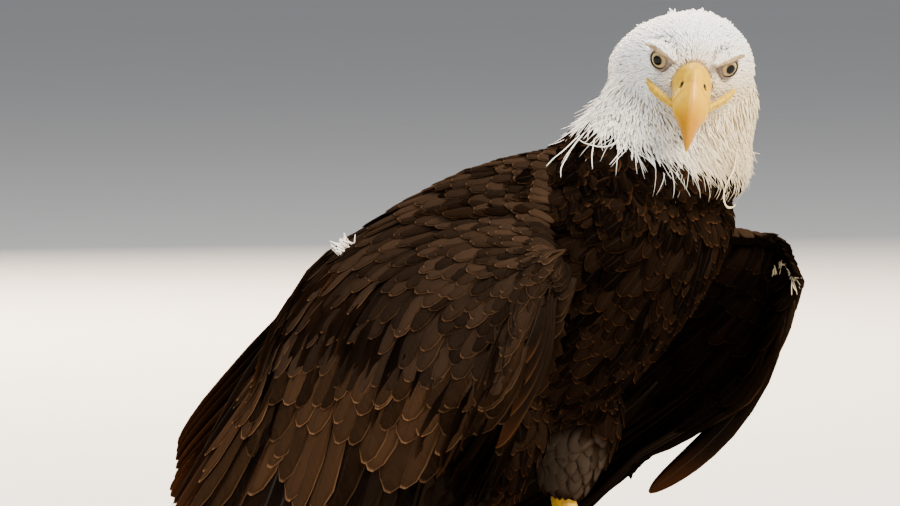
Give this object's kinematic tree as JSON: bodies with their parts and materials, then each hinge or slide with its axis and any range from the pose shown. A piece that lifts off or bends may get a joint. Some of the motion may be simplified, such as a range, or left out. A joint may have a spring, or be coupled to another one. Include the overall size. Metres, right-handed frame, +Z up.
{
  "type": "bald eagle",
  "caption": "Life-size bald eagle standing with drooped, half-open wings, its head turned over its right shoulder.",
  "frame": {"origin": "middle of the underside of the whole bird's box, at floor level under its feet and wing tips", "axes": "+Z up, +Y towards the tail, so the breast faces -Y and the bird's left wing is on +X"},
  "size_m": [0.3358, 0.5714, 0.3922],
  "materials": {
    "dark_plumage": "soft, dark chocolate-brown feathers with paler, rufous edges",
    "white_plumage": "soft white feathers",
    "bill": "smooth yellow horn and cere",
    "brow_skin": "pale tan bare skin over the eye",
    "foot_skin": "yellow scaled skin",
    "talon": "smooth black horn",
    "eye": "pale yellow iris with a black pupil under a clear, wet surface"
  },
  "bodies": {
    "root": {"bill_lower": "bill", "bill_upper": "bill", "brow_left": "brow_skin", "brow_right": "brow_skin", "cere": "bill", "eye_left": "eye", "eye_right": "eye", "gape_left": "bill", "gape_right": "bill", "head": "white_plumage", "leg_left_tarsus": "foot_skin", "leg_left_thigh": "dark_plumage", "leg_left_toe_hind": "foot_skin", "leg_left_toe_hind_talon": "talon", "leg_left_toe_inner": "foot_skin", "leg_left_toe_inner_talon": "talon", "leg_left_toe_middle": "foot_skin", "leg_left_toe_middle_talon": "talon", "leg_left_toe_outer": "foot_skin", "leg_left_toe_outer_talon": "talon", "leg_right_tarsus": "foot_skin", "leg_right_thigh": "dark_plumage", "leg_right_toe_hind": "foot_skin", "leg_right_toe_hind_talon": "talon", "leg_right_toe_inner": "foot_skin", "leg_right_toe_inner_talon": "talon", "leg_right_toe_middle": "foot_skin", "leg_right_toe_middle_talon": "talon", "leg_right_toe_outer": "foot_skin", "leg_right_toe_outer_talon": "talon", "neck": "white_plumage", "tail": "white_plumage", "trunk": "dark_plumage", "wing_left_alula": "dark_plumage", "wing_left_forearm": "dark_plumage", "wing_left_hand": "dark_plumage", "wing_left_primaries": "dark_plumage", "wing_left_secondaries": "dark_plumage", "wing_left_tertials": "dark_plumage", "wing_left_upper_arm": "dark_plumage", "wing_right_alula": "dark_plumage", "wing_right_forearm": "dark_plumage", "wing_right_hand": "dark_plumage", "wing_right_primaries": "dark_plumage", "wing_right_secondaries": "dark_plumage", "wing_right_tertials": "dark_plumage", "wing_right_upper_arm": "dark_plumage"}
  },
  "joints": []
}
